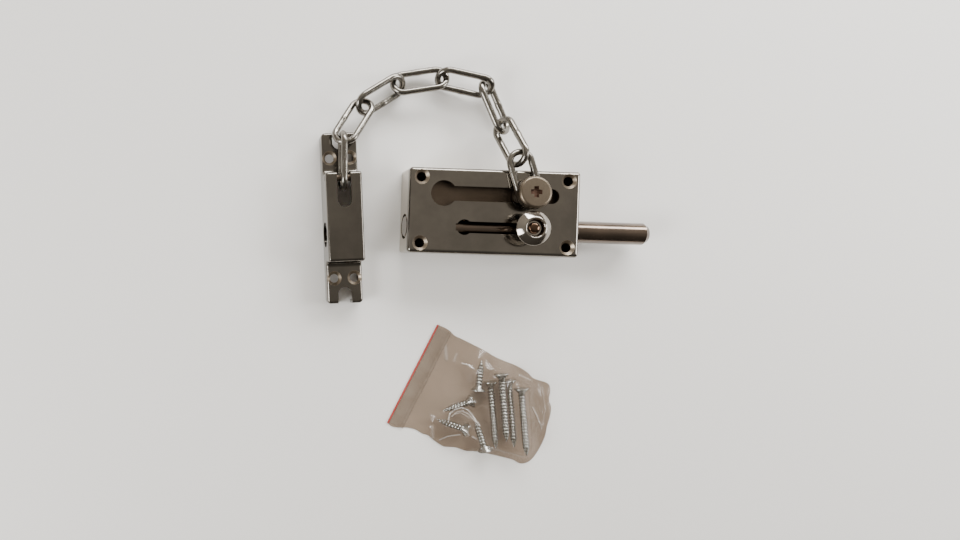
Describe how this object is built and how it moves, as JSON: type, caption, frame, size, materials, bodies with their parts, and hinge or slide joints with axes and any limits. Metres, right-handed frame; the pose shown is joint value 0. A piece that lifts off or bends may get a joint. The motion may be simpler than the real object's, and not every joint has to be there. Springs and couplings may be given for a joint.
{
  "type": "door chain guard",
  "caption": "Surface-mounted door chain guard: a slide-bolt lock case with keyhole track, a button-ended link chain, its slotted keeper, and a grip-seal bag of wood screws.",
  "frame": {"origin": "centre of the lock case's flat back face", "axes": "+X along the case towards the bolt's tip, +Y across it on the chain track's side, +Z out of its face; the whole set lies on the plane z = 0"},
  "size_m": [0.1565, 0.1925, 0.0283],
  "materials": {
    "chromed_shell": "polished chrome plate over pressed steel",
    "chromed_turning": "polished chrome plate over turned brass",
    "bolt_nickel": "drawn rod with a thin nickel plate",
    "button_satin": "satin nickel plate with turning lines",
    "chain_plate": "bright nickel plate on welded steel wire",
    "inner_steel": "plain pressed sheet, lightly oiled",
    "spring_steel": "blued spring strip",
    "zinc_screw": "clear zinc plate on rolled thread",
    "bag_film": "clear polythene film",
    "bag_stripe_red": "dyed polythene lip"
  },
  "bodies": {
    "lock_case": {"case_shell": "chromed_shell", "back_plate": "inner_steel", "screw_pillars": "inner_steel", "track_posts": "inner_steel", "back_screw_right": "zinc_screw", "back_screw_left": "zinc_screw", "guide_block_left": "inner_steel", "guide_block_right": "inner_steel", "bolt_spring": "spring_steel", "chain_track": "inner_steel"},
    "bolt": {"bolt_rod": "bolt_nickel", "bolt_knob": "chromed_turning", "knob_screw": "button_satin"},
    "chain_button": {"button_screw": "button_satin", "button_foot": "button_satin"},
    "chain_link_1": {"chain_link_1": "chain_plate"},
    "chain_link_2": {"chain_link_2": "chain_plate"},
    "chain_link_3": {"chain_link_3": "chain_plate"},
    "chain_link_4": {"chain_link_4": "chain_plate"},
    "chain_link_5": {"chain_link_5": "chain_plate"},
    "chain_link_6": {"chain_link_6": "chain_plate"},
    "chain_link_7": {"chain_link_7": "chain_plate"},
    "chain_link_8": {"chain_link_8": "chain_plate"},
    "keeper": {"keeper_shell": "chromed_shell", "keeper_pin": "inner_steel"},
    "screw_bag": {"bag_back": "bag_film", "bag_front": "bag_film", "bag_seal": "bag_film", "bag_stripe": "bag_stripe_red", "case_screws": "zinc_screw", "keeper_screws": "zinc_screw"}
  },
  "joints": [
    {"name": "bolt_slide", "type": "slide", "parent": "lock_case", "child": "bolt", "axis": [1, 0, 0], "range_m": [-0.0204, 0]},
    {"name": "button_slide", "type": "slide", "parent": "lock_case", "child": "chain_button", "axis": [1, 0, 0], "range_m": [-0.0391, 0.0114]},
    {"name": "chain_swivel", "type": "hinge", "parent": "chain_button", "child": "chain_link_1", "pos_m": [0.0151, 0.00834, 0.01974], "axis": [0, -0.0872, -0.9962], "range_deg": [-6, 50]},
    {"name": "link_hinge_2", "type": "hinge", "parent": "chain_link_1", "child": "chain_link_2", "pos_m": [0.0094, 0.02806, 0.01801], "axis": [0.961, 0.2756, -0.0241], "range_deg": [-29, 33]},
    {"name": "link_hinge_3", "type": "hinge", "parent": "chain_link_2", "child": "chain_link_3", "pos_m": [0.00509, 0.04435, 0.00612], "axis": [-0.3488, -0.5714, -0.7429], "range_deg": [-25, 60]},
    {"name": "link_hinge_4", "type": "hinge", "parent": "chain_link_3", "child": "chain_link_4", "pos_m": [-0.00393, 0.06272, 0.00749], "axis": [0.6643, 0.306, -0.682], "range_deg": [-19, 39]},
    {"name": "link_hinge_5", "type": "hinge", "parent": "chain_link_4", "child": "chain_link_5", "pos_m": [-0.02541, 0.06524, 0.00587], "axis": [-0.0771, -0.627, -0.7752], "range_deg": [-15, 60]},
    {"name": "link_hinge_6", "type": "hinge", "parent": "chain_link_5", "child": "chain_link_6", "pos_m": [-0.04688, 0.06074, 0.00511], "axis": [0.1488, -0.9217, 0.3581], "range_deg": [-13, 29]},
    {"name": "link_hinge_7", "type": "hinge", "parent": "chain_link_6", "child": "chain_link_7", "pos_m": [-0.06348, 0.04834, 0.00835], "axis": [-0.3637, 0.6921, 0.6235], "range_deg": [-60, 21]},
    {"name": "link_hinge_8", "type": "hinge", "parent": "chain_link_7", "child": "chain_link_8", "pos_m": [-0.07267, 0.03098, 0.01521], "axis": [-0.8325, 0.3289, -0.4459], "range_deg": [-27, 33]},
    {"name": "keeper_hinge", "type": "hinge", "parent": "chain_link_8", "child": "keeper", "pos_m": [-0.07106, 0.01393, 0.0146], "axis": [-0.9972, -0.075, 0], "range_deg": [0, 105]},
    {"name": "bag_lift", "type": "slide", "parent": "lock_case", "child": "screw_bag", "axis": [0, 0, 1], "range_m": [0, 0.06]}
  ]
}
